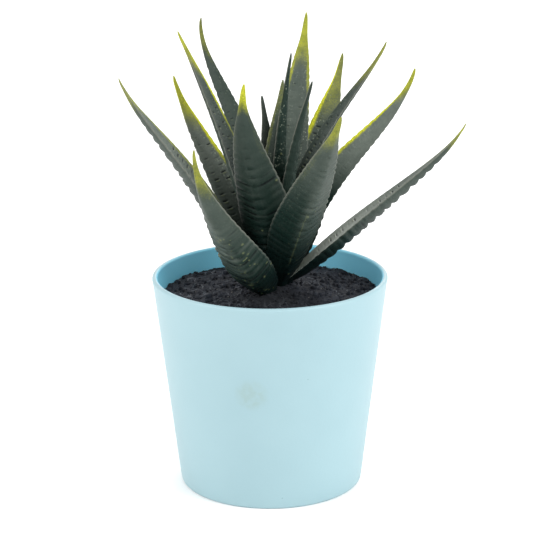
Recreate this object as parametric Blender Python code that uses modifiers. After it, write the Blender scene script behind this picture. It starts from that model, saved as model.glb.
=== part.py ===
"""Potted succulent: a rosette of pointed, keeled leaves round a short stem in a tapered pot.

Metres, +Z up. The origin is the centre of the pot's flat base, and -Y is the front.
"""
from math import cos, pi, radians, sin

import bmesh
import bpy
import numpy as np

# --- pot ----------------------------------------------------------------------------------
POT_HEIGHT = 0.073
POT_RIM_RADIUS = 0.040
POT_BASE_RADIUS = 0.0312
POT_WALL = 0.0019
POT_FLOOR = 0.0025
POT_FOOT_ROUND = 0.0008
TURNED_STEPS = 96

# --- soil and stem ------------------------------------------------------------------------
RIM_TO_SOIL = 0.007
SOIL_EDGE_ROUND = 0.0015
CROWN_X = 0.0025
CROWN_Y = 0.005
STEM_RADIUS = 0.0026
STEM_TOP_ROUND = 0.001
STEM_ABOVE_SOIL = 0.0045
STEM_IN_SOIL = 0.030
STEM_STEPS = 32

# --- what all leaves share ----------------------------------------------------------------
THICKNESS_TO_WIDTH = 0.38
CHANNEL_TO_THICKNESS = 0.22
KEEL_ROUNDNESS = 1.6
BASE_THICKNESS_SHARE = 0.6
WIDEST_AT = 0.30
THICKEST_AT = 0.25
# how each runs out to the tip: (1 - u^fall)^end, u from 0 at the peak to 1 at the tip
WIDTH_FALL, WIDTH_END = 1.6, 1.25
THICKNESS_FALL, THICKNESS_END = 1.9, 0.8
# the slender tip: how much narrower, where along the length, and how far that reaches
TIP_NARROWING, TIP_AT, TIP_REACH = 0.15, 0.93, 0.07
HOOK_POWER = 6
LEAF_STEPS = 15
FACE_STEPS = 6

# gap kept between any two pieces
CLEARANCE = 0.0003


def leaf(bearing, sweep, out, up, rise, hook, length, width, twist, neck):
    """One leaf's own sizes, lengths in millimetres and angles in degrees.

    bearing: the way its base points, from +X towards +Y; sweep: the extra turn at its tip.
    out, up: where its base sits, from the stem's axis and from the soil.
    rise: how steeply it climbs at its base, middle and tip; hook: what its very tip adds.
    twist: its turn about its own length; neck: the base's share of the full width.
    """
    return {
        "bearing": radians(bearing), "sweep": radians(sweep), "out": out / 1000, "up": up / 1000,
        "rise": np.radians(rise), "hook": radians(hook), "length": length / 1000,
        "width": width / 1000, "twist": radians(twist), "neck": neck,
    }


# The outer leaves come first, and a leaf gives way to those listed before it.
LEAVES = {
    "leaf_front_left": leaf(-112, -62, 9.0, 3.0, (34, 51, 73), 16, 71, 15, 25, 0.55),
    "leaf_front_right": leaf(-65, -9, 2.8, 5.5, (69, 49, 53), -4, 83, 17, -12, 0.55),
    "leaf_right_low": leaf(3, -14, 4.0, 5.0, (43, 38, 35), 24, 80, 14, -3, 0.55),
    "leaf_left_low": leaf(204, 2, 5.9, 1.5, (66, 54, 34), 31, 92, 14.5, -26, 0.55),
    "leaf_left": leaf(142, 8, 5.2, 1.5, (74, 55, 62), 10, 78.5, 14.5, -13, 0.55),
    "leaf_right": leaf(30, -13, 4.7, 5.4, (85, 42, 46), 29, 84.5, 10.5, 44, 0.55),
    "leaf_front": leaf(-125, 3, 3.0, 7.5, (94, 66, 90), 16, 70, 18, 24, 0.42),
    "leaf_left_high": leaf(144, 0, 3.1, 3.5, (78, 64, 53), 3, 91, 12.5, 10, 0.42),
    "leaf_back_right": leaf(57, -2, 5.6, 3.3, (71, 59, 60), 12, 81, 17, 22, 0.42),
    "leaf_right_high": leaf(6, -2, 2.8, 3.8, (96, 62, 34), 30, 90.5, 9.5, 15, 0.42),
    "leaf_back": leaf(74, 10, 4.0, 7.5, (81, 57, 38), 0, 96, 13.5, 1, 0.42),
    "leaf_back_left": leaf(112, 42, 6.5, 6.0, (80, 52, 48), 49, 93, 9, -19, 0.42),
    "leaf_heart_1": leaf(-15, 2, -2.0, 6.0, (95, 86, 79), 0, 67.5, 9, -44, 0.42),
    "leaf_heart_2": leaf(33, -5, 0.0, 6.0, (93, 86, 77), 0, 76, 9.5, -57, 0.42),
    "leaf_heart_3": leaf(-50, 0, 2.4, 6.5, (90, 77, 65), 0, 71, 7.5, 9, 0.42),
    "leaf_heart_4": leaf(147, 1, 1.4, 5.8, (82, 89, 78), 0, 61.5, 9.5, -14, 0.42),
}

SOIL_TOP = POT_HEIGHT - RIM_TO_SOIL


def pot_radius(height):
    """Outer radius of the pot at a height."""
    return POT_BASE_RADIUS + (POT_RIM_RADIUS - POT_BASE_RADIUS) * height / POT_HEIGHT


def arc(centre_x, centre_z, radius, start, end, steps):
    """Points of an arc in the XZ plane, angles in degrees from +X towards +Z."""
    angles = [radians(start + (end - start) * k / steps) for k in range(steps + 1)]
    return [(centre_x + radius * cos(a), centre_z + radius * sin(a)) for a in angles]


def new_object(name, mesh, collection):
    """Link a mesh to a collection as an object of the same name."""
    piece = bpy.data.objects.new(name, mesh)
    collection.objects.link(piece)
    return piece


def turned(name, profile, steps, collection):
    """Screw an XZ profile, listed top to bottom down its outer side, into a solid."""
    mesh = bpy.data.meshes.new(name)
    points = [(x, 0, z) for x, z in profile]
    mesh.from_pydata(points, [(k, k + 1) for k in range(len(points) - 1)], [])
    piece = new_object(name, mesh, collection)
    screw = piece.modifiers.new("Screw", "SCREW")
    screw.axis = "Z"
    screw.steps = steps
    screw.render_steps = steps
    screw.use_merge_vertices = True
    screw.merge_threshold = 0.00001
    screw.use_smooth_shade = True
    return piece


def paint(piece, colour, roughness):
    """Give a piece its own Principled material."""
    material = bpy.data.materials.new(piece.name)
    material.use_nodes = True
    shader = material.node_tree.nodes["Principled BSDF"]
    shader.inputs["Base Color"].default_value = (*colour, 1)
    shader.inputs["Roughness"].default_value = roughness
    shader.inputs["Metallic"].default_value = 0
    piece.data.materials.append(material)


def make_pot(collection):
    """Moulded pot: thin tapered wall, rounded lip, flat floor, slightly rounded foot."""
    lip = POT_WALL / 2
    lip_z = POT_HEIGHT - lip
    foot = POT_FOOT_ROUND
    profile = [(0, POT_FLOOR), (pot_radius(POT_FLOOR) - POT_WALL, POT_FLOOR)]
    profile += arc(POT_RIM_RADIUS - lip, lip_z, lip, 180, 0, 6)
    profile += arc(POT_BASE_RADIUS - foot, foot, foot, 0, -90, 3)
    profile += [(0, 0)]
    pot = turned("pot", profile, TURNED_STEPS, collection)
    paint(pot, (0.52, 0.76, 0.82), 0.38)


def make_soil(collection, stem_cutter):
    """Soil fill: a plug that follows the pot's wall, with a blind hole for the stem."""
    bottom = POT_FLOOR + CLEARANCE
    gap = POT_WALL + CLEARANCE
    edge = SOIL_EDGE_ROUND
    arc_z = SOIL_TOP - edge
    profile = [(0, SOIL_TOP)]
    profile += arc(pot_radius(arc_z) - gap - edge, arc_z, edge, 90, 0, 4)
    profile += [(pot_radius(bottom) - gap, bottom), (0, bottom)]
    soil = turned("soil", profile, TURNED_STEPS, collection)
    cut(soil, stem_cutter)
    paint(soil, (0.013, 0.016, 0.020), 0.95)


def stem_profile(grow):
    """Profile of the stem, grown outward by a given amount."""
    radius = STEM_RADIUS + grow
    top = SOIL_TOP + STEM_ABOVE_SOIL + grow
    bottom = SOIL_TOP - STEM_IN_SOIL - grow
    profile = [(0, top)]
    profile += arc(radius - STEM_TOP_ROUND, top - STEM_TOP_ROUND, STEM_TOP_ROUND, 90, 0, 3)
    profile += [(radius, bottom), (0, bottom)]
    return profile


def make_stem(collection):
    """Short stem that the leaves grow round, standing in the soil."""
    stem = turned("stem", stem_profile(0), STEM_STEPS, collection)
    stem.location = (CROWN_X, CROWN_Y, 0)
    paint(stem, (0.030, 0.040, 0.022), 0.8)


def swell(s, start, peak, fall, end):
    """Share of the full size at s: from start up to 1 at the peak, then down to 0 at s = 1."""
    rising = start + (1 - start) * np.sin(pi / 2 * np.minimum(s / peak, 1))
    falling = (1 - np.clip((s - peak) / (1 - peak), 0, 1) ** fall) ** end
    return np.where(s < peak, rising, falling)


def leaf_rings(size, grow):
    """Rings of points round a leaf from base to tip, grown outward by a given amount.

    The spine's steepness is the parabola through the three rise angles, plus the hook times
    s^6, with s from 0 at the base to 1 at the tip. Each ring has a
    hollowed inner face, y = -channel (1 - x^2), and a keeled outer face,
    y = -thickness (1 - |x|^roundness), for x from -1 to 1 across the width.
    """
    s = np.linspace(0, 1, LEAF_STEPS + 1)
    at_base, at_middle, at_tip = size["rise"]
    rise = at_base * (1 - s) * (1 - 2 * s) + at_middle * 4 * s * (1 - s) + at_tip * s * (2 * s - 1)
    rise = rise + size["hook"] * s ** HOOK_POWER
    bearing = size["bearing"] + size["sweep"] * s ** 2
    along = np.stack([np.cos(rise) * np.cos(bearing), np.cos(rise) * np.sin(bearing), np.sin(rise)], 1)
    across = np.stack([-np.sin(bearing), np.cos(bearing), 0 * s], 1)
    inward = np.cross(along, across)
    turn = size["twist"]
    across, inward = across * cos(turn) + inward * sin(turn), inward * cos(turn) - across * sin(turn)

    start = np.array([CROWN_X + size["out"] * cos(size["bearing"]),
                      CROWN_Y + size["out"] * sin(size["bearing"]),
                      SOIL_TOP + size["up"]])
    moves = (along[1:] + along[:-1]) / 2 * size["length"] / LEAF_STEPS
    spine = start + np.vstack([np.zeros(3), np.cumsum(moves, 0)])
    spine[0] -= along[0] * grow
    spine[-1] += along[-1] * grow

    half_width = size["width"] / 2 * swell(s, size["neck"], WIDEST_AT, WIDTH_FALL, WIDTH_END)
    half_width = half_width * (1 - TIP_NARROWING * np.exp(-((s - TIP_AT) / TIP_REACH) ** 2))
    thickness = size["width"] * THICKNESS_TO_WIDTH
    thickness = thickness * swell(s, BASE_THICKNESS_SHARE, THICKEST_AT, THICKNESS_FALL, THICKNESS_END)
    x = np.linspace(-1, 1, FACE_STEPS + 1)
    inner_y = -CHANNEL_TO_THICKNESS * (1 - x ** 2)
    outer_y = -(1 - np.abs(x) ** KEEL_ROUNDNESS)
    sides = np.concatenate([x, x[-2:0:-1]])
    depths = np.concatenate([inner_y, outer_y[-2:0:-1]])
    push = np.concatenate([np.where(np.abs(x) < 1, 1, 0.5), -np.ones(FACE_STEPS - 1)])
    side = (half_width + grow)[:, None] * sides
    depth = thickness[:, None] * depths + grow * push
    return spine[:, None] + across[:, None] * side[..., None] + inward[:, None] * depth[..., None]


def leaf_mesh(name, size, grow):
    """Loft a leaf through its rings, with a flat base and one point at the tip."""
    rings = leaf_rings(size, grow)
    bm = bmesh.new()
    loops = [[bm.verts.new(point) for point in ring] for ring in rings[:-1]]
    tip = bm.verts.new(rings[-1].mean(axis=0))
    count = len(loops[0])
    for low, high in zip(loops, loops[1:]):
        for k in range(count):
            after = (k + 1) % count
            bm.faces.new((low[k], low[after], high[after], high[k]))
    for k in range(count):
        bm.faces.new((loops[-1][k], loops[-1][(k + 1) % count], tip))
    bm.faces.new(loops[0])
    bmesh.ops.recalc_face_normals(bm, faces=bm.faces)
    mesh = bpy.data.meshes.new(name)
    bm.to_mesh(mesh)
    bm.free()
    return mesh


def cut(piece, cutter):
    """Take a cutter's shape out of a piece."""
    boolean = piece.modifiers.new("Clear " + cutter.name, "BOOLEAN")
    boolean.operation = "DIFFERENCE"
    boolean.solver = "EXACT"
    boolean.object = cutter


def hide(cutter):
    """Leave a cutter out of the finished object."""
    cutter.hide_render = True
    cutter.display_type = "WIRE"
    return cutter


def make_ground_cutter(collection):
    """Everything under the soil's surface, where no leaf may reach."""
    top = SOIL_TOP + CLEARANCE
    profile = [(0, top), (POT_RIM_RADIUS, top), (POT_RIM_RADIUS, 0), (0, 0)]
    return hide(turned("ground_cutter", profile, STEM_STEPS, collection))


def make_stem_cutter(collection):
    """The stem grown by the clearance."""
    cutter = hide(turned("stem_cutter", stem_profile(CLEARANCE), STEM_STEPS, collection))
    cutter.location = (CROWN_X, CROWN_Y, 0)
    return cutter


def make_leaves(collection, cutters, in_the_way):
    """Every leaf, cleared of what is in its way and of the leaves before it."""
    for name, size in LEAVES.items():
        piece = new_object(name, leaf_mesh(name, size, 0), collection)
        piece.data.shade_smooth()
        paint(piece, (0.022, 0.040, 0.030), 0.45)
        for cutter in in_the_way:
            cut(piece, cutter)
        grown = new_object(name + "_cutter", leaf_mesh(name, size, CLEARANCE), cutters)
        in_the_way = in_the_way + [hide(grown)]


def main():
    for old in list(bpy.data.objects):
        bpy.data.objects.remove(old, do_unlink=True)
    collection = bpy.data.collections.new("potted_succulent")
    cutters = bpy.data.collections.new("cutters")
    bpy.context.scene.collection.children.link(collection)
    bpy.context.scene.collection.children.link(cutters)
    ground_cutter = make_ground_cutter(cutters)
    stem_cutter = make_stem_cutter(cutters)
    make_pot(collection)
    make_soil(collection, stem_cutter)
    make_stem(collection)
    make_leaves(collection, cutters, [ground_cutter, stem_cutter])


main()
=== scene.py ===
"""Looks of the potted succulent: soft studio, light blue pot, dark soil, ridged leaves."""

from math import cos, pi, radians, sin

import bpy
import numpy as np
from mathutils import Matrix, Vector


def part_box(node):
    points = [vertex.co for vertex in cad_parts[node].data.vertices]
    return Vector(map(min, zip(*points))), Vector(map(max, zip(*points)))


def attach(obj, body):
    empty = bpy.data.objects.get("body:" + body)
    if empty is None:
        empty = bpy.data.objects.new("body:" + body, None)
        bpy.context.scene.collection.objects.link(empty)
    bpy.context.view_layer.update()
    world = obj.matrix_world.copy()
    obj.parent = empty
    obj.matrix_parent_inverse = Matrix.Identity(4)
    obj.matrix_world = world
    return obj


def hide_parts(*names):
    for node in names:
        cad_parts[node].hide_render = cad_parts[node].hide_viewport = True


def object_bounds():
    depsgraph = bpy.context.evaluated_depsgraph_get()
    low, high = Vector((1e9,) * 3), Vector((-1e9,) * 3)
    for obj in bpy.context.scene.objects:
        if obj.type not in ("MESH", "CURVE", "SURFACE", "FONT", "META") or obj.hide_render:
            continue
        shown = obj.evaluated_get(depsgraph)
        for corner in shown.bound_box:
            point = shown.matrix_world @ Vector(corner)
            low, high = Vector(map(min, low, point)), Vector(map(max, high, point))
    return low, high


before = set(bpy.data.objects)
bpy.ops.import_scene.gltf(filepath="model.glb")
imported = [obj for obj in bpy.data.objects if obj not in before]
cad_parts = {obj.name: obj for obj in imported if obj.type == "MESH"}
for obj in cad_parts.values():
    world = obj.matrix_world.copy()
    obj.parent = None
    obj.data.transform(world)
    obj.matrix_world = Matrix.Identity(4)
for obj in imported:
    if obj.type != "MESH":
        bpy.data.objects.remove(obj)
cad_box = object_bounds()

MM = 0.001


# ---------------------------------------------------------------------------------------
# Studio. A wide pale floor, an even white surround as in a light tent, and three large
# soft panels: the strongest from the front right, one from the left and a weak one behind.
# ---------------------------------------------------------------------------------------
class Wire:
    """A shader socket. Arithmetic on it adds nodes to its material."""

    def __init__(self, tree, socket=None):
        self.tree = tree
        self.socket = socket

    def node(self, kind, settings, values, output=0):
        """Add a node: its settings first, then each socket's value or link."""
        new = self.tree.nodes.new("ShaderNode" + kind)
        for name, value in settings.items():
            setattr(new, name, value)
        for name, value in values.items():
            if isinstance(value, Wire):
                self.tree.links.new(value.socket, new.inputs[name])
            else:
                new.inputs[name].default_value = value
        return Wire(self.tree, new.outputs[output])

    def math(self, operation, *values):
        """A Math node on the values given."""
        return self.node("Math", {"operation": operation}, dict(enumerate(values)))

    def __add__(self, other):
        return self.math("ADD", self, other)

    def __sub__(self, other):
        return self.math("SUBTRACT", self, other)

    def __rsub__(self, other):
        return self.math("SUBTRACT", other, self)

    def __mul__(self, other):
        return self.math("MULTIPLY", self, other)

    def __abs__(self):
        return self.math("ABSOLUTE", self)

    __radd__ = __add__
    __rmul__ = __mul__

    def ramp(self, start, end):
        """0 at start, 1 at end, eased between and held outside."""
        settings = {"interpolation_type": "SMOOTHSTEP"}
        return self.node("MapRange", settings, {"Value": self, "From Min": start, "From Max": end})

    def tint(self, low, high):
        """The colour low where the wire is 0 and high where it is 1."""
        return self.node("Mix", {"data_type": "RGBA"}, {0: self, 6: low, 7: high}, 2)

    def noise(self, vector, scale, detail=3.0, roughness=0.55):
        """Noise from 0 to 1, scale in lumps per metre."""
        values = {"Vector": vector, "Scale": scale, "Detail": detail, "Roughness": roughness}
        return self.node("TexNoise", {}, values)

    def feed(self, shader, name):
        """Link the wire to a socket of the shader."""
        self.tree.links.new(self.socket, shader.inputs[name])


def new_material(name):
    """A Principled material, its shader, and a bare wire to start sums from."""
    material = bpy.data.materials.new(name)
    material.use_nodes = True
    tree = material.node_tree
    return material, tree.nodes["Principled BSDF"], Wire(tree)


FLOOR_HALF = 6.0
FLOOR_LOW = (0.94, 0.94, 0.94, 1)
FLOOR_HIGH = (0.96, 0.96, 0.96, 1)
SURROUND_STRENGTH = 1.08
PANEL_SIZE = 0.8
# the panels aim at this share of the object's height
AIM_SHARE = 0.55
WHITE = (1.0, 1.0, 1.0)
WARM_WHITE = (1.0, 0.97, 0.95)

floor_mesh = bpy.data.meshes.new("floor")
corners = np.array([(-1, -1, 0), (1, -1, 0), (1, 1, 0), (-1, 1, 0)]) * FLOOR_HALF
floor_mesh.from_pydata(corners.tolist(), [], [(0, 1, 2, 3)])
floor = bpy.data.objects.new("floor", floor_mesh)
bpy.context.scene.collection.objects.link(floor)
floor_paint, shader, start = new_material("pale_floor")
place = start.node("TexCoord", {}, {}, "Object")
start.noise(place, 3.0).tint(FLOOR_LOW, FLOOR_HIGH).feed(shader, "Base Color")
shader.inputs["Roughness"].default_value = 0.9
floor_mesh.materials.append(floor_paint)

world = bpy.data.worlds.new("light_tent")
world.use_nodes = True
world.node_tree.nodes["Background"].inputs["Color"].default_value = (*WHITE, 1)
world.node_tree.nodes["Background"].inputs["Strength"].default_value = SURROUND_STRENGTH
bpy.context.scene.world = world


def soft_panel(name, place, watts, colour):
    """A square area light aimed at the middle of the plant."""
    light = bpy.data.lights.new(name, "AREA")
    light.size = PANEL_SIZE
    light.energy = watts
    light.color = colour
    panel = bpy.data.objects.new(name, light)
    panel.location = place
    aim = np.array([0, 0, cad_box[1][2] * AIM_SHARE]) - np.array(place)
    flat = float(np.hypot(aim[0], aim[1]))
    panel.rotation_euler = (float(np.arctan2(flat, -aim[2])), 0, float(np.arctan2(-aim[0], aim[1])))
    bpy.context.scene.collection.objects.link(panel)


soft_panel("right_panel", (1.0, -0.5, 0.8), 9.5, WHITE)
soft_panel("left_panel", (-1.1, -0.4, 0.7), 6.5, WARM_WHITE)
soft_panel("back_panel", (0.2, 1.2, 0.8), 5.0, WHITE)

# The camera looks a little down on the plant from far off, turned a hair anticlockwise.
CAMERA_DISTANCE = 0.680
CAMERA_DROP = radians(16.5)
CAMERA_ROLL = radians(-0.4)
CAMERA_AIM = (-1.15 * MM, 0, 75.6 * MM)
LENS_LENGTH = 135.4
SENSOR_WIDTH = 36

lens = bpy.data.cameras.new("camera")
lens.lens = LENS_LENGTH
lens.sensor_width = SENSOR_WIDTH
camera = bpy.data.objects.new("camera", lens)
aim_up = Matrix.Rotation(pi / 2 - CAMERA_DROP, 4, "X") @ Matrix.Rotation(CAMERA_ROLL, 4, "Z")
back = (0, -CAMERA_DISTANCE * cos(CAMERA_DROP), CAMERA_DISTANCE * sin(CAMERA_DROP))
camera.matrix_world = Matrix.Translation(np.add(CAMERA_AIM, back)) @ aim_up
bpy.context.scene.collection.objects.link(camera)
bpy.context.scene.camera = camera
bpy.context.scene.view_settings.view_transform = "Standard"


# ---------------------------------------------------------------------------------------
# Pot. One thin-walled moulding in light blue plastic, with a straight taper, a rounded lip
# and a small round at the foot. It is satin, with faint handling marks, and holds the soil.
# ---------------------------------------------------------------------------------------
def woven(rings, low=None, high=None):
    """Points and faces of a tube: quads between closed rings, and a fan to a pole at an end."""
    rows, columns = rings.shape[:2]
    index = np.arange(rows * columns).reshape(rows, columns)
    after = np.roll(index, -1, axis=1)
    faces = np.stack([index[:-1], after[:-1], after[1:], index[1:]], -1).reshape(-1, 4).tolist()
    points = [rings.reshape(-1, 3)]
    count = rows * columns
    if low is not None:
        points.append(np.reshape(low, (1, 3)))
        faces += np.stack([after[0], index[0], np.full(columns, count)], -1).tolist()
        count += 1
    if high is not None:
        points.append(np.reshape(high, (1, 3)))
        faces += np.stack([index[-1], after[-1], np.full(columns, count)], -1).tolist()
    return np.concatenate(points), faces


def add_piece(name, points, faces, material, stands_for):
    """Make a smooth-shaded mesh object that rides the one body and stands for CAD nodes."""
    mesh = bpy.data.meshes.new(name)
    mesh.from_pydata(points.tolist(), [], faces)
    mesh.shade_smooth()
    mesh.materials.append(material)
    piece = bpy.data.objects.new(name, mesh)
    bpy.context.scene.collection.objects.link(piece)
    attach(piece, "root")
    for node in stands_for:
        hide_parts(node)
    return piece


def revolved(radii, heights, columns):
    """Rings at each height of a profile: (r cos a, r sin a, z), a going once round."""
    turn = np.arange(columns) * 2 * pi / columns
    x = np.outer(radii, np.cos(turn))
    y = np.outer(radii, np.sin(turn))
    z = np.repeat(np.asarray(heights)[:, None], columns, axis=1)
    return np.stack([x, y, z], -1)


def rounded(centre_r, centre_z, radius, start, end, steps):
    """Radii and heights along an arc, angles in degrees from outward towards up."""
    angle = np.radians(np.linspace(start, end, steps))
    return centre_r + radius * np.cos(angle), centre_z + radius * np.sin(angle)


pot_low, pot_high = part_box("pot")
pot_height = pot_high[2] - pot_low[2]
rim_radius = pot_high[0]
base_radius = 31.2 * MM
wall = 1.9 * MM
pot_floor = 2.5 * MM
lip = wall / 2
foot = 0.8 * MM
POT_COLUMNS = 256


def pot_outer(height):
    """Outer radius at a height: a straight line from the base's radius to the rim's."""
    return base_radius + (rim_radius - base_radius) * height / pot_height


foot_r, foot_z = rounded(base_radius - foot, foot, foot, -90, 0, 8)
side_z = np.linspace(foot, pot_height - lip, 40)[1:-1]
lip_r, lip_z = rounded(rim_radius - lip, pot_height - lip, lip, 0, 180, 17)
well_z = np.linspace(pot_height - lip, pot_floor, 30)[1:]
pot_r = np.concatenate([foot_r, pot_outer(side_z), lip_r, pot_outer(well_z) - wall])
pot_z = np.concatenate([foot_z, side_z, lip_z, well_z])
pot_rings = revolved(pot_r, pot_z, POT_COLUMNS)
pot_points, pot_faces = woven(pot_rings, low=(0, 0, 0), high=(0, 0, pot_floor))

POT_BLUE_LOW = (0.298, 0.450, 0.492, 1)
POT_BLUE_HIGH = (0.313, 0.468, 0.510, 1)
SMUDGE_COLOUR = (0.270, 0.375, 0.350, 1)
SPECK_COLOUR = (0.15, 0.24, 0.26, 1)
WELL_PAINTED_GLOW = (0.255, 0.755, 0.980, 1)
SMUDGE_AT = (-6.3 * MM, -34.8 * MM, 42.4 * MM)
SMUDGE_OUTER = 6.5 * MM
SMUDGE_INNER = 3.0 * MM

pot_paint, shader, start = new_material("pot_plastic")
place = start.node("TexCoord", {}, {}, "Object")
cloud = start.noise(place, 28.0, 4.0)
grain = start.noise(place, 900.0, 2.0)
tone = cloud.ramp(0.3, 0.7).tint(POT_BLUE_LOW, POT_BLUE_HIGH)
# a faint greenish handling smudge halfway up the front, broken up by fine noise
away = start.node("VectorMath", {"operation": "DISTANCE"}, {0: place, 1: SMUDGE_AT}, "Value")
patch = start.noise(place, 420.0, 3.0).ramp(0.35, 0.65)
smudge = away.ramp(SMUDGE_OUTER, SMUDGE_INNER) * (0.35 + 0.65 * patch) * 0.50
tone = smudge.tint(tone, SMUDGE_COLOUR)
specks = start.noise(place, 620.0, 1.0, 0.4).ramp(0.81, 0.86) * 0.5
tone = specks.tint(tone, SPECK_COLOUR)
# painted light: the inner face is painted a deeper, brighter blue than the outer one, standing in for light
# that comes through the thin wall and bounces inside; how far a point lies inside the outer face says which
# it is
level = start.node("SeparateXYZ", {}, {0: place}, 2)
flat = start.node("VectorMath", {"operation": "MULTIPLY"}, {0: place, 1: (1, 1, 0)})
reach = start.node("VectorMath", {"operation": "LENGTH"}, {0: flat}, "Value")
slope = (rim_radius - base_radius) / pot_height
within = base_radius + level * slope - reach
inner = within.ramp(0.50 * wall, 0.90 * wall)
inner.tint(tone, WELL_PAINTED_GLOW).feed(shader, "Base Color")
(0.36 + 0.12 * cloud + 0.10 * smudge).feed(shader, "Roughness")
bump = start.node("Bump", {}, {"Strength": 0.25, "Distance": 0.0001, "Height": grain})
bump.feed(shader, "Normal")
add_piece("pot_moulding", pot_points, pot_faces, pot_paint, ["pot"])


# ---------------------------------------------------------------------------------------
# Soil. Dark, almost black potting mix, poured in and lumpy, a little mounded at the stem
# and heaped against the foot of the front leaf. Loose crumbs lie on it.
# ---------------------------------------------------------------------------------------
LATTICE = 128


def lumps(x, y, size, seed):
    """Smooth random heights from -1 to 1: a random lattice of the given size, eased between."""
    lattice = np.random.default_rng(seed).uniform(-1, 1, (LATTICE, LATTICE))
    u = x / size + LATTICE // 2
    v = y / size + LATTICE // 2
    column = np.floor(u).astype(int)
    row = np.floor(v).astype(int)
    s = u - column
    t = v - row
    s = s * s * (3 - 2 * s)
    t = t * t * (3 - 2 * t)
    near = lattice[column, row] * (1 - s) + lattice[column + 1, row] * s
    far = lattice[column, row + 1] * (1 - s) + lattice[column + 1, row + 1] * s
    return near * (1 - t) + far * t


soil_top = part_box("soil")[1][2]
stem_low, stem_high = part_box("stem")
crown = np.array([(stem_low[0] + stem_high[0]) / 2, (stem_low[1] + stem_high[1]) / 2])
soil_gap = 0.3 * MM
MOUND_SPREAD = 11 * MM
HEAP_AT = (-2.0 * MM, -11.0 * MM)
HEAP_SPREAD = 5.0 * MM
# heights in millimetres
MOUND_HEIGHT = 1.5
HEAP_HEIGHT = 2.6
SOIL_ROWS = 150
SOIL_COLUMNS = 420
SKIRT_ROWS = 14
SKIRT_BELOW = 2.5 * MM


def soil_height(x, y):
    """Level of the soil: four sizes of lumps, on a bell-shaped mound and a smaller heap."""
    mound = np.exp(-((x - crown[0]) ** 2 + (y - crown[1]) ** 2) / (2 * MOUND_SPREAD ** 2))
    heap = np.exp(-((x - HEAP_AT[0]) ** 2 + (y - HEAP_AT[1]) ** 2) / (2 * HEAP_SPREAD ** 2))
    rough = 0.40 * lumps(x, y, 8.5 * MM, 3) + 0.30 * lumps(x, y, 3.1 * MM, 4)
    rough = rough + 0.28 * lumps(x, y, 1.3 * MM, 5) + 0.20 * lumps(x, y, 0.62 * MM, 6)
    return soil_top + (rough + MOUND_HEIGHT * mound + HEAP_HEIGHT * heap) * MM


soil_rim = pot_outer(soil_top) - wall - soil_gap
soil_share = np.sqrt(np.linspace(0.0001, 1, SOIL_ROWS))
soil_rings = revolved(soil_rim * soil_share[::-1], np.zeros(SOIL_ROWS), SOIL_COLUMNS)
soil_rings[..., 2] = soil_height(soil_rings[..., 0], soil_rings[..., 1])
skirt_z = np.linspace(pot_floor + soil_gap, soil_top - SKIRT_BELOW, SKIRT_ROWS)
skirt = revolved(pot_outer(skirt_z) - wall - soil_gap, skirt_z, SOIL_COLUMNS)
soil_all = np.concatenate([skirt, soil_rings])
soil_peak = (0, 0, float(soil_height(np.zeros(1), np.zeros(1))[0]))
soil_points, soil_faces = woven(soil_all, low=(0, 0, pot_floor + soil_gap), high=soil_peak)

SOIL_DARK = (0.0048, 0.0064, 0.0108, 1)
SOIL_MID = (0.0165, 0.0205, 0.0300, 1)
SOIL_GRAIN = (0.0480, 0.0520, 0.0600, 1)
SOIL_PAINTED_SHADE = (0.003, 0.004, 0.006, 1)
FIBRE_COLOUR = (0.110, 0.118, 0.132, 1)
FLECK_COLOUR = (0.110, 0.105, 0.095, 1)
SHADE_AT = (0.5 * MM, -9.0 * MM, soil_top)
SHADE_OUTER = 19.0 * MM
SHADE_INNER = 5.0 * MM

soil_paint, shader, start = new_material("soil_crumb")
place = start.node("TexCoord", {}, {}, "Object")
coarse = start.noise(place, 210.0, 5.0, 0.6)
fine = start.noise(place, 1500.0, 4.0, 0.7)
tone = coarse.ramp(0.30, 0.72).tint(SOIL_DARK, SOIL_MID)
tone = fine.ramp(0.60, 0.78).tint(tone, SOIL_GRAIN)
# fibres show as thin pale curls in patches, where a noise crosses its middle
curl = start.noise(place, 260.0, 1.0, 0.3) - 0.5
fibre = abs(curl).ramp(0.030, 0.008) * start.noise(place, 110.0, 1.0).ramp(0.48, 0.58)
tone = (fibre * 0.7).tint(tone, FIBRE_COLOUR)
fleck = start.noise(place, 800.0, 1.0, 0.3).ramp(0.74, 0.80)
tone = fleck.tint(tone, FLECK_COLOUR)
# painted shade: darker in front of the crown, under the overhanging leaves
away = start.node("VectorMath", {"operation": "DISTANCE"}, {0: place, 1: SHADE_AT}, "Value")
(away.ramp(SHADE_OUTER, SHADE_INNER) * 0.80).tint(tone, SOIL_PAINTED_SHADE).feed(shader, "Base Color")
(0.78 + 0.2 * fine).feed(shader, "Roughness")
shader.inputs["Specular IOR Level"].default_value = 0.35
height = coarse * 0.6 + fine * 0.4
bump = start.node("Bump", {}, {"Strength": 0.9, "Distance": 0.0006, "Height": height})
bump.feed(shader, "Normal")
add_piece("soil_bed", soil_points, soil_faces, soil_paint, ["soil"])

# Loose crumbs: a 24-faced ball, squashed and dented differently each time, almost half sunk.
CRUMBS = 1500
# in millimetres: the least size, and how much larger the few largest are
CRUMB_LEAST = 0.22
CRUMB_SPREAD = 0.75
ball_rings = revolved(np.array([0.72, 1.0, 0.72]), np.array([-0.70, 0.0, 0.70]), 6)
ball_points, ball_faces = woven(ball_rings, low=(0, 0, -1), high=(0, 0, 1))
chance = np.random.default_rng(11)
reach = soil_rim * np.sqrt(chance.uniform(0.0, 0.985, CRUMBS))
turn = chance.uniform(0, 2 * pi, CRUMBS)
crumb_x = reach * np.cos(turn)
crumb_y = reach * np.sin(turn)
crumb_size = (CRUMB_LEAST + CRUMB_SPREAD * chance.uniform(0, 1, CRUMBS) ** 3.5) * MM
crumb_at = np.stack([crumb_x, crumb_y, soil_height(crumb_x, crumb_y) + 0.15 * crumb_size], -1)
squash = chance.uniform(0.6, 1.25, (CRUMBS, 1, 3))
dents = chance.uniform(0.75, 1.25, (CRUMBS, len(ball_points), 1))
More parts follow.
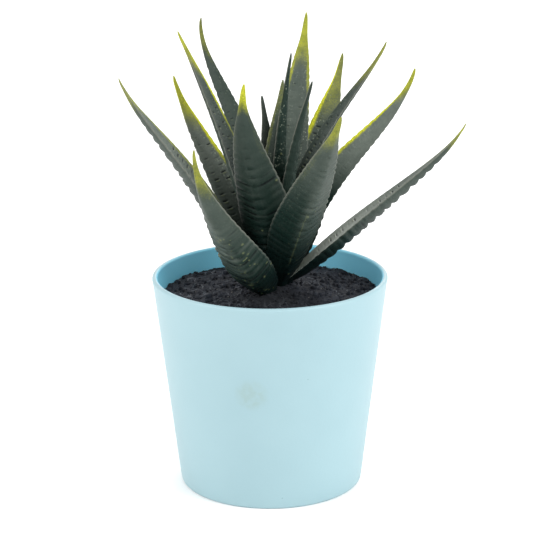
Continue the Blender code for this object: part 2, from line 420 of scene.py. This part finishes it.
crumb_points = ball_points[None] * squash * dents * crumb_size[:, None, None] + crumb_at[:, None]
# keep every crumb inside the wall
span = np.hypot(crumb_points[..., 0], crumb_points[..., 1])
crumb_points[..., :2] *= np.minimum(1, soil_rim / span)[..., None]
crumb_faces = []
for ball in range(CRUMBS):
    crumb_faces += [[corner + ball * len(ball_points) for corner in face] for face in ball_faces]
add_piece("soil_crumbs", crumb_points.reshape(-1, 3), crumb_faces, soil_paint, [])


# ---------------------------------------------------------------------------------------
# Stem. The short round core that the leaves grow round, rooted in the soil. They hide it
# almost wholly, so its CAD mesh stays as it is, with a dull, dark bark.
# ---------------------------------------------------------------------------------------
BARK_DARK = (0.010, 0.014, 0.010, 1)
BARK_PALE = (0.040, 0.046, 0.028, 1)

stem_paint, shader, start = new_material("stem_bark")
place = start.node("TexCoord", {}, {}, "Object")
bark = start.noise(place, 600.0, 4.0, 0.6)
bark.tint(BARK_DARK, BARK_PALE).feed(shader, "Base Color")
(0.7 + 0.2 * bark).feed(shader, "Roughness")
bump = start.node("Bump", {}, {"Strength": 0.6, "Distance": 0.0003, "Height": bark})
bump.feed(shader, "Normal")
for material_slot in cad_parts["stem"].material_slots:
    material_slot.material = stem_paint


# ---------------------------------------------------------------------------------------
# Leaves. Thick pointed leaves, hollowed on the inner face and keeled on the outer one.
# The outer face is ridged crosswise, the keel and the lower edge are scalloped, the inner
# face has two rows of short dents, and the tip and the upper edge are dusted yellow.
# ---------------------------------------------------------------------------------------
def leaf(bearing, sweep, out, up, rise, hook, length, width, twist, neck):
    """One leaf's sizes, lengths in millimetres and angles in degrees.

    bearing and sweep: the way its base points and the extra turn at its tip; out and up:
    where its base sits; rise: its steepness at base, middle and tip; hook: what the very
    tip adds; neck: the base's share of the width.
    """
    return {
        "bearing": radians(bearing), "sweep": radians(sweep), "out": out * MM, "up": up * MM,
        "rise": np.radians(rise), "hook": radians(hook), "length": length * MM,
        "width": width * MM, "twist": radians(twist), "neck": neck,
    }


def dust(side, tip, tip_reach, edge, edge_reach, warts, stripes):
    """How a leaf is coloured: the edge that faces up, 1, -1 or 0 for both alike; how yellow
    the tip and that edge are and over what share of the length; how many warts its outer
    face has; how strongly it is striped lengthwise.
    """
    return {
        "side": side, "tip": tip, "tip_reach": tip_reach, "edge": edge,
        "edge_reach": edge_reach, "warts": warts, "stripes": stripes,
    }


def skin(minus, plus, split, low, high, ridges, glint_dots, keel=0.3):
    """How much painted sheen and painted light each face gets, one flank painted lighter than
    the other for how light falls: on the two flanks of the outer face, which part at split; low
    down and high up on the inner face; then how deep the ridges are, how thickly painted
    glints lie along the upper edge and how boldly the keel is scalloped.
    """
    return {
        "minus": minus, "plus": plus, "split": split, "low": low, "high": high,
        "ridges": ridges, "glint_dots": glint_dots, "keel": keel,
    }


# Each leaf() row repeats the CAD's, but for the width of leaf_heart_4. These numbers are the
# rounded results of a fitting program, in part changed afterwards, not sizes chosen by a maker.
LEAVES = {
    "leaf_front_left": leaf(-112, -62, 9.0, 3.0, (34, 51, 73), 16, 71, 15, 25, 0.55)
    | dust(1, 0.56, 0.27, 0.08, 0.80, 90, 0.2) | skin(0.31, 0.10, 0.05, 0.0, 0.30, 1.00, 0.05),
    "leaf_front_right": leaf(-65, -9, 2.8, 5.5, (69, 49, 53), -4, 83, 17, -12, 0.55)
    | dust(-1, 0.56, 0.22, 0.15, 0.65, 12, 0.2) | skin(0.03, 0.33, -0.15, 0.0, 0.30, 0.40, 0.1),
    "leaf_right_low": leaf(3, -14, 4.0, 5.0, (43, 38, 35), 24, 80, 14, -3, 0.55)
    | dust(1, 0.62, 0.20, 0.35, 0.45, 10, 0.3) | skin(0.22, 0.22, 0.0, 1.9, 0.52, 0.50, 0.2, keel=0.9),
    "leaf_left_low": leaf(204, 2, 5.9, 1.5, (66, 54, 34), 31, 92, 14.5, -26, 0.55)
    | dust(-1, 0.50, 0.22, 0.50, 0.85, 10, 0.3) | skin(0.32, 0.32, 0.0, 0.2, 0.50, 0.50, 0.3, keel=0.9),
    "leaf_left": leaf(142, 8, 5.2, 1.5, (74, 55, 62), 10, 78.5, 14.5, -13, 0.55)
    | dust(-1, 0.80, 0.32, 1.00, 0.66, 10, 0.3) | skin(0.25, 0.25, 0.0, 0.12, 0.66, 0.40, 1.0),
    "leaf_right": leaf(30, -13, 4.7, 5.4, (85, 42, 46), 29, 84.5, 10.5, 44, 0.55)
    | dust(1, 0.78, 0.20, 0.90, 0.80, 8, 0.4) | skin(0.60, 0.60, 0.0, -0.40, 0.60, 0.12, 0.3),
    "leaf_front": leaf(-125, 3, 3.0, 7.5, (94, 66, 90), 16, 70, 18, 24, 0.42)
    | dust(0, 0.84, 0.15, 0.12, 0.60, 5, 0.2) | skin(0.16, 0.06, -0.70, 0.0, 0.30, 0.90, 0.0),
    "leaf_left_high": leaf(144, 0, 3.1, 3.5, (78, 64, 53), 3, 91, 12.5, 10, 0.42)
    | dust(-1, 0.72, 0.24, 0.90, 0.58, 8, 0.4) | skin(0.20, 0.20, 0.0, -0.30, 0.22, 0.40, 0.5),
    "leaf_back_right": leaf(57, -2, 5.6, 3.3, (71, 59, 60), 12, 81, 17, 22, 0.42)
    | dust(1, 0.46, 0.40, 0.95, 0.72, 10, 0.8) | skin(0.30, 0.30, 0.0, 0.1, 0.35, 0.40, 1.0),
    "leaf_right_high": leaf(6, -2, 2.8, 3.8, (96, 62, 34), 30, 90.5, 9.5, 15, 0.42)
    | dust(1, 0.50, 0.26, 0.20, 0.50, 8, 0.3) | skin(0.18, 0.18, 0.0, 0.1, 0.18, 0.40, 0.3, keel=0.9),
    "leaf_back": leaf(74, 10, 4.0, 7.5, (81, 57, 38), 0, 96, 13.5, 1, 0.42)
    | dust(0, 0.70, 0.30, 0.65, 0.55, 8, 0.5) | skin(0.35, 0.35, 0.0, 0.1, 0.36, 0.30, 0.5),
    "leaf_back_left": leaf(112, 42, 6.5, 6.0, (80, 52, 48), 49, 93, 9, -19, 0.42)
    | dust(-1, 0.42, 0.22, 0.15, 0.40, 6, 0.3) | skin(0.18, 0.18, 0.0, 0.1, 0.18, 0.30, 0.2, keel=0.5),
    "leaf_heart_1": leaf(-15, 2, -2.0, 6.0, (95, 86, 79), 0, 67.5, 9, -44, 0.42)
    | dust(-1, 0.30, 0.25, 0.32, 0.55, 4, 1.0) | skin(0.25, 0.25, 0.0, 0.1, 0.25, 0.30, 0.5),
    "leaf_heart_2": leaf(33, -5, 0.0, 6.0, (93, 86, 77), 0, 76, 9.5, -57, 0.42)
    | dust(-1, 0.10, 0.15, 0.10, 0.50, 4, 1.0) | skin(0.03, 0.03, 0.0, 0.0, 0.03, 0.30, 0.5),
    "leaf_heart_3": leaf(-50, 0, 2.4, 6.5, (90, 77, 65), 0, 71, 7.5, 9, 0.42)
    | dust(1, 0.10, 0.15, 0.15, 0.60, 4, 1.0) | skin(0.08, 0.08, 0.0, 0.0, 0.08, 0.30, 0.5),
    "leaf_heart_4": leaf(147, 1, 1.4, 5.8, (82, 89, 78), 0, 61.5, 10.5, -14, 0.42)
    | dust(0, 0.00, 0.10, 0.00, 0.50, 4, 0.8) | skin(0.25, 0.25, 0.0, 0.1, 0.25, 0.30, 0.2),
}
STATIONS = 420
FACE_COLUMNS = 35
FIRST_SEED = 40
THICKNESS_SHARE = 0.38
CHANNEL_SHARE = 0.22
BASE_THICKNESS = 0.6
WIDEST_AT, WIDTH_FALL, WIDTH_END = 0.30, 1.6, 1.30
THICKEST_AT, THICKNESS_FALL, THICKNESS_END = 0.25, 1.7, 1.0
# the slender tip: how much narrower, where along the length, and how far that reaches
TIP_NARROWING, TIP_AT, TIP_REACH = 0.36, 0.91, 0.08
# how far a leaf goes on below the soil, and how slim it is there
ROOT_DEPTH = 1.0 * MM
ROOT_SHARE = 0.45
EDGE_ROUND = 0.26 * MM
EDGE_POWER = 12
TIP_ROUND = 0.55 * MM
HOOK_POWER = 6
FLANK_POWER = 1.22
# relief fades out where a leaf is narrower than this
SLIM_BELOW = 3.5 * MM
RIDGE_PITCH = 2.75 * MM
RIDGE_DEPTH = 0.26 * MM
TROUGH_DEPTH = 0.10 * MM
NICK_DEPTH = 0.22 * MM
SCALLOP_PITCH = 3.7 * MM
SCALLOP_DEPTH = 0.95 * MM
EDGE_SCALLOP = 1.1 * MM
DENT_PITCH = 2.7 * MM
DENT_DEPTH = 0.45 * MM
DENT_ROWS = (-0.42, 0.40)
MOST_DENTS = 200
WART_HEIGHT = 0.25 * MM
PAINTED_SHEEN_STRENGTH = 0.63


def swell(s, start, peak, fall, end):
    """Share of full size: start to 1 over the peak by a quarter sine, then (1 - u^fall)^end."""
    rising = start + (1 - start) * np.sin(pi / 2 * np.clip(s / peak, 0, 1))
    falling = (1 - np.clip((s - peak) / (1 - peak), 0, 1) ** fall) ** end
    return np.where(s < peak, rising, falling)


def eased(value, start, end):
    """0 at start, 1 at end, 3t^2 - 2t^3 between."""
    t = np.clip((value - start) / (end - start), 0, 1)
    return t * t * (3 - 2 * t)


def bell(value, width):
    """The bell curve exp(-(value / width)^2)."""
    return np.exp(-(value / width) ** 2)


def spine(size, s):
    """Points along a leaf's spine, and the directions across it and inward at each.

    The steepness is the parabola through the three rise angles plus the hook times s^6,
    and the bearing turns with s squared; the points are the running sum of the direction,
    and s below 0 goes straight on down into the crown.
    """
    t = np.maximum(s, 0)
    low, middle, high = size["rise"]
    rise = low * (1 - t) * (1 - 2 * t) + middle * 4 * t * (1 - t) + high * t * (2 * t - 1)
    rise = rise + size["hook"] * t ** HOOK_POWER
    bearing = size["bearing"] + size["sweep"] * t ** 2
    along = np.stack([np.cos(rise) * np.cos(bearing), np.cos(rise) * np.sin(bearing), np.sin(rise)], 1)
    across = np.stack([-np.sin(bearing), np.cos(bearing), 0 * s], 1)
    inward = np.cross(along, across)
    twist = size["twist"]
    across, inward = across * cos(twist) + inward * sin(twist), inward * cos(twist) - across * sin(twist)
    steps = (along[1:] + along[:-1]) / 2 * np.diff(s)[:, None] * size["length"]
    line = np.vstack([np.zeros(3), np.cumsum(steps, 0)])
    line -= [np.interp(0, s, line[:, axis]) for axis in range(3)]
    base = (crown[0] + size["out"] * cos(size["bearing"]), crown[1] + size["out"] * sin(size["bearing"]),
            soil_top + size["up"])
    return line + base, across, inward


def outline(size, s, dice):
    """Half width, thickness, edge round and tip round at each station.

    Width and thickness are swells, drawn in below the soil. The width is narrowed near the
    tip by a bell, rounded at the very tip by sqrt(1 - s^60), and nicked by |sin|.
    """
    tip_round = TIP_ROUND * np.sqrt(np.clip(1 - np.maximum(s, 0) ** 60, 0, 1)) * eased(s, 0.4, 0.9)
    rooted = ROOT_SHARE + (1 - ROOT_SHARE) * eased(s, s[0, 0], 0.07)
    half = size["width"] / 2 * swell(s, size["neck"], WIDEST_AT, WIDTH_FALL, WIDTH_END) * rooted
    half = half * (1 - TIP_NARROWING * bell(s - TIP_AT, TIP_REACH))
    thick = size["width"] * THICKNESS_SHARE
    thick = thick * swell(s, BASE_THICKNESS, THICKEST_AT, THICKNESS_FALL, THICKNESS_END) * rooted
    nick = np.abs(np.sin(pi * s * size["length"] / RIDGE_PITCH + dice.uniform(0, 3)))
    nicked = (nick - 0.6) * NICK_DEPTH * eased(s, 0.0, 0.1) * eased(s, 0.9, 0.65)
    half = half + tip_round + nicked
    return half, thick, np.minimum(EDGE_ROUND, 0.35 * half), tip_round


def inner_face(size, s, x, thick, edge, dice):
    """Depth of the inner face, its dents, and the raised welt below each.

    y = -channel (1 - x^2), with the edges rounded by sqrt(1 - x^12), less two rows of dents.
    A dent and its welt are bells along the leaf, bent by x^2, within a flat-topped bell
    exp(-x^4) across it.
    """
    travel = s * size["length"]
    channel = CHANNEL_SHARE * thick * (1 - x ** 2)
    y = -channel - edge * (1 - np.sqrt(np.clip(1 - x ** EDGE_POWER, 0, 1)))
    dent = np.zeros_like(y)
    welt = np.zeros_like(y)
    for row_x in DENT_ROWS:
        shift = dice.uniform(0, DENT_PITCH)
        number = np.round((travel - shift) / DENT_PITCH)
        which = np.clip(number.astype(int), 0, MOST_DENTS - 1)
        strength = dice.uniform(0.25, 1, MOST_DENTS)[which]
        middle = row_x + 0.08 * dice.uniform(-1, 1, MOST_DENTS)[which]
        offset = (travel - shift - number * DENT_PITCH) / MM - 1.6 * (x - middle) ** 2
        inside = np.exp(-((x - middle) / 0.20) ** 4) * strength
        dent = dent + inside * bell(offset, 0.28)
        welt = welt + inside * bell(offset + 0.62, 0.36)
    dented = eased(s, 0.10, 0.22) * eased(s, 0.80, 0.62) * min(1, 2.5 * size["ridges"])
    dent = dent * dented
    welt = welt * dented
    return y - DENT_DEPTH * dent + 0.5 * DENT_DEPTH * welt, dent, welt


def ridges(size, s, x, half, dice, seed):
    """Grooves of the outer face, the wide trough round each, and the pale bands of painted sheen about them.

    Groove lines lie a pitch apart, reach towards the tip at the edges by |x|^1.4, jog at the
    keel and wander by two sines. A groove is a narrow bell about its line, a trough cos^2.
    """
    travel = s * size["length"]
    wander = 0.16 * np.sin(travel / (5.3 * MM) + dice.uniform(0, 6))
    wander = wander + 0.10 * np.sin(travel / (2.9 * MM) + 2 * x + dice.uniform(0, 6))
    arch = (0.045 * half / MM) * np.abs(x) ** 1.4
    jog = 0.10 * np.tanh(x / 0.12)
    turns = travel / RIDGE_PITCH - arch + jog + wander
    gap = (turns - np.round(turns)) * RIDGE_PITCH / MM
    ridged = eased(s, 0.04, 0.14) * eased(s, 0.70, 0.42)
    patchy = np.clip(0.50 + 0.95 * lumps(travel, x * half, 4.0 * MM, seed), 0, 1.1) * size["ridges"]
    spread = 0.35 + 0.65 * eased(np.abs(x), 0.02, 0.30)
    spread = spread * (1 - 0.7 * eased(np.abs(x), 0.80, 1.0))
    near_line = np.cos(pi * gap * MM / RIDGE_PITCH) ** 2
    groove = bell(gap, 0.50) * ridged * patchy * spread
    trough = near_line * ridged * spread * size["ridges"]
    sheen_band = np.clip(0.4 + lumps(travel, x * half, 3.0 * MM, seed + 2), 0, 1) * near_line
    return groove, trough, sheen_band * ridged * size["ridges"]


def scallops(size, s, dice, seed):
    """Notches along the keel and the lower edge: 1 - |sin|^0.8, unevenly spaced and deep."""
    travel = s * size["length"]
    turns = travel / SCALLOP_PITCH + 0.35 * lumps(travel, travel, 9 * MM, seed)
    uneven = 0.65 + 0.35 * lumps(travel, 0 * travel, 4 * MM, seed + 1)
    return (1 - np.abs(np.sin(pi * turns + dice.uniform(0, 3))) ** 0.8) * uneven


def warts(size, s, x, half, dice):
    """Raised warts on the lower outer face, thickest along the keel: oval bells."""
    wart = np.zeros(np.broadcast_shapes(s.shape, x.shape))
    for _ in range(size["warts"]):
        at_s = dice.uniform(0.04, 0.58)
        at_x = 0.38 * dice.normal() + 0.05
        wide = 0.20 + 0.50 * dice.uniform() ** 2
        gap_s = (s * size["length"] - at_s * size["length"]) / MM
        gap_x = (x - at_x) * half / MM
        wart = np.maximum(wart, np.exp(-(gap_s ** 2 + 1.4 * gap_x ** 2) / wide ** 2))
    return wart


def outer_body(x, thick, edge, tip_round):
    """Plain outer face: two flanks, -thickness (1 - f^1.22) with f close to |x|, in a soft keel.

    It closes in a small round at the edges and is fattened a little at the tip.
    """
    flank = np.maximum(np.sqrt(x ** 2 + 0.012) - 0.109 * (1 - x ** 2), 0)
    body = np.maximum(thick - 2 * edge, 0) * np.clip(1 - flank ** FLANK_POWER, 0, 1)
    edge_round = edge * (1 + np.sqrt(np.clip(1 - x ** EDGE_POWER, 0, 1)))
    return -body - edge_round - tip_round * 0.4 * (1 - np.abs(x) ** 3)


def dusting(size, s, upper, dice):
    """Yellow dust, 0 to 1: eased in towards the tip and the upper edge, and speckled."""
    speckle = dice.uniform(0, 1, upper.shape)
    tip = size["tip"] * eased(s + 0.03 * upper, 1 - size["tip_reach"], 1 - 0.35 * size["tip_reach"])
    fade = eased(s, 1 - size["edge_reach"], 1 - 0.45 * size["edge_reach"])
    reach_in = 0.86 - 0.30 * fade
    edge = size["edge"] * eased(upper, reach_in, reach_in + 0.24) * (0.25 + 0.75 * fade) * (fade > 0)
    return np.clip(np.maximum(tip, edge) * (0.8 + 0.4 * speckle), 0, 1)


def outer_sheen(size, s, x, sheen_band):
    """Painted grey sheen of the outer face, one flank painted lighter than the other for how light
    falls: one flank's share eased into the other's, evened out towards the tip, thinning
    towards the base and stronger in the pale bands.
    """
    flanks = size["minus"] + (size["plus"] - size["minus"]) * eased(x - size["split"], -0.25, 0.25)
    flanks = flanks + (max(size["minus"], size["plus"]) - flanks) * 0.8 * eased(s, 0.35, 0.80)
    return flanks * eased(s, 0.10, 0.65) * (1 + 0.6 * sheen_band) + 0.10 * sheen_band * eased(s, 0.05, 0.30)


def leaf_surface(size, seed):
    """Rings of a leaf, and marks that say for each point how it is coloured.

    A ring runs across the inner face, x from -1 to 1, and back over the outer one: each
    point is the spine's, plus x times the half width across and the face's depth inward.
    """
    dice = np.random.default_rng(seed)
    root = (size["up"] + ROOT_DEPTH) / size["length"] / max(sin(size["rise"][0]), 0.5)
    s = np.linspace(-root, 1, STATIONS)[:, None]
    points, across, inward = spine(size, s[:, 0])
    inner_x = -np.cos(pi * np.linspace(0, 1, FACE_COLUMNS))[None]
    outer_x = inner_x[:, -2:0:-1]

    half, thick, edge, tip_round = outline(size, s, dice)
    inner_y, dent, welt = inner_face(size, s, inner_x, thick, edge, dice)
    groove, trough, sheen_band = ridges(size, s, outer_x, half, dice, seed)
    scallop = scallops(size, s, dice, seed)
    wart = warts(size, s, outer_x, half, dice)

    keel = bell(outer_x, 0.10 + 0.28 * size["keel"]) * (0.8 + 0.4 * size["keel"])
    keel = keel * eased(s, 0.05, 0.15) * eased(s, 0.94, 0.70)
    slim = np.minimum(1, half / SLIM_BELOW)
    relief = RIDGE_DEPTH * groove + SCALLOP_DEPTH * scallop * keel * slim
    relief = relief + TROUGH_DEPTH * trough - WART_HEIGHT * wart
    outer_y = outer_body(outer_x, thick, edge, tip_round) + slim * relief

    x = np.concatenate([np.broadcast_to(inner_x, inner_y.shape), np.broadcast_to(outer_x, outer_y.shape)], 1)
    y = np.concatenate([inner_y, outer_y], 1)
    # the edge that hangs lower is scalloped like the keel
    wavy = EDGE_SCALLOP * min(size["ridges"], 0.5) * scallop * eased(s, 0.08, 0.2) * eased(s, 0.92, 0.70)
    aside = x * half + size["side"] * wavy * np.clip(-x * size["side"], 0, 1) ** 2
    rings = points[:, None] + across[:, None] * aside[..., None] + inward[:, None] * y[..., None]

    # painted highlight: where the flanks are painted unlike, a pale line is painted along the keel between
    # them
    keel_highlight = 2.0 * abs(size["plus"] - size["minus"]) * bell(outer_x, 0.07)
    keel_highlight = keel_highlight * eased(s, 0.06, 0.14) * eased(s, 0.55, 0.40)
    upper = x * size["side"] if size["side"] else np.abs(x)
    inner_sheen = size["low"] + (size["high"] - size["low"]) * eased(s, 0.15, 0.65) + 0 * inner_y
    painted_sheen = np.concatenate([inner_sheen, outer_sheen(size, s, outer_x, sheen_band)], 1)
    marks = {
        "painted_sheen": PAINTED_SHEEN_STRENGTH * np.clip(painted_sheen, 0, 2),
        "glint_dots": size["glint_dots"] * eased(upper, -0.2, 0.8) * eased(s, 0.20, 0.50),
        "along": np.clip(s + 0 * x, 0, 1),
        "across": x,
        "groove": np.concatenate([dent, groove], 1),
        "raised": np.concatenate([welt, np.maximum(wart, keel_highlight)], 1),
        "dust": dusting(size, s, upper, dice),
        "rim": eased(np.abs(x), 0.93, 1.0),
        "stripes": size["stripes"] + 0 * x,
    }
    return rings, marks


SKIN_GREEN = (0.0040, 0.0165, 0.0120, 1)
SKIN_PAINTED_SHADE = (0.0020, 0.0070, 0.0065, 1)
SHEEN_GREY_PAINTED = (0.2950, 0.3300, 0.2850, 1)
STRIPE_GREY = (0.0420, 0.0560, 0.0420, 1)
HOLLOW_PAINTED_SHADE = (0.0030, 0.0060, 0.0060, 1)
RAISED_PALE_HIGHLIGHT = (0.150, 0.170, 0.080, 1)
GLINT_PAINTED_PALE = (0.270, 0.310, 0.240, 1)
RIM_PAINTED_HIGHLIGHT = (0.190, 0.195, 0.165, 1)
YELLOW_DULL = (0.230, 0.250, 0.018, 1)
YELLOW_FULL = (0.370, 0.385, 0.026, 1)
YELLOW_BRIGHT = (0.560, 0.570, 0.030, 1)
GLINTS_PER_METRE = 1150.0


def leaf_material():
    """Blackish green skin with a painted grey sheen, painted shade in the hollows and towards the base,
    painted highlights on edges, welts and keel, painted glints, and yellow where dusted.
    """
    material, shader, start = new_material("leaf_skin")
    place = start.node("TexCoord", {}, {}, "Object")
    names = ("along", "across", "groove", "raised", "dust", "rim", "stripes", "painted_sheen", "glint_dots")
    mark = {name: start.node("Attribute", {"attribute_name": name}, {}, "Fac") for name in names}
    streak_at = start.node("CombineXYZ", {}, {0: mark["across"] * 9.0, 1: mark["along"] * 2.2})
    streaks = start.noise(streak_at, 1.6, 3.0)
    mottle = start.noise(place, 260.0, 4.0, 0.6)
    fine = start.noise(place, 1900.0, 3.0, 0.6)

    # painted sheen and painted light: a grey standing in for the white surround's reflection, lighter or
    # darker per flank and face for how light falls, broken up by mottle
    painted_sheen = mark["painted_sheen"] * (0.55 + 0.9 * mottle)
    # painted shade: darker towards the base of each leaf, where the leaves shade the crown
    low = mark["along"].ramp(0.40, 0.03)
    green = low.tint(SKIN_GREEN, SKIN_PAINTED_SHADE)
    green = painted_sheen.tint(green, SHEEN_GREY_PAINTED)
    stripe = streaks.ramp(0.50, 0.72) * mark["stripes"] * 0.6
    green = stripe.tint(green, STRIPE_GREY)
    # painted shade in the dents of the inner face and the grooves of the outer one
    green = (mark["groove"].ramp(0.10, 0.80) * 0.95).tint(green, HOLLOW_PAINTED_SHADE)
    # painted highlight: paler on the welt below each dent and along the keel line; the warts take the same
    # paler tint
    green = (mark["raised"].ramp(0.3, 0.9) * 0.6).tint(green, RAISED_PALE_HIGHLIGHT)
    # painted glints: small pale dots, thickest towards the upper edge
    cells = start.node("TexVoronoi", {}, {"Vector": place, "Scale": GLINTS_PER_METRE}, 0)
    glint = cells.ramp(0.38, 0.18) * start.noise(place, 420.0, 1.0).ramp(0.40, 0.56) * mark["glint_dots"]
    green = glint.tint(green, GLINT_PAINTED_PALE)
    # painted highlight along the leaf edges, fading out towards the base
    green = (mark["rim"] * mark["along"].ramp(0.10, 0.60) * 0.60).tint(green, RIM_PAINTED_HIGHLIGHT)
    yellow = mottle.ramp(0.3, 0.7).tint(YELLOW_DULL, YELLOW_FULL)
    dusted = (mark["dust"] + (fine - 0.5) * 0.45 * mark["dust"].ramp(0.0, 0.15)).ramp(0.05, 0.95)
    yellow = mark["dust"].ramp(0.75, 1.0).tint(yellow, YELLOW_BRIGHT)
    dusted.tint(green, yellow).feed(shader, "Base Color")
    (0.33 + 0.16 * mottle + 0.10 * fine + 0.10 * dusted).feed(shader, "Roughness")
    height = fine * 0.6 + mottle * 0.5 + streaks * 0.4
    bump = start.node("Bump", {}, {"Strength": 0.45, "Distance": 0.00025, "Height": height})
    bump.feed(shader, "Normal")
    shader.inputs["Specular IOR Level"].default_value = 0.12
    return material


leaf_paint = leaf_material()
for number, (leaf_name, leaf_size) in enumerate(LEAVES.items()):
    leaf_rings, leaf_marks = leaf_surface(leaf_size, FIRST_SEED + number)
    tip_ring = leaf_rings[-1].mean(axis=0)
    root_ring = leaf_rings[0].mean(axis=0)
    leaf_points, leaf_faces = woven(leaf_rings[:-1], low=root_ring, high=tip_ring)
    skin_name = leaf_name.replace("leaf_", "skin_")
    piece = add_piece(skin_name, leaf_points, leaf_faces, leaf_paint, [leaf_name])
    for mark_name, values in leaf_marks.items():
        held = piece.data.attributes.new(mark_name, "FLOAT", "POINT")
        ends = [values[0].mean(), values[-1].mean()]
        held.data.foreach_set("value", np.concatenate([values[:-1].ravel(), ends]).astype(np.float32))
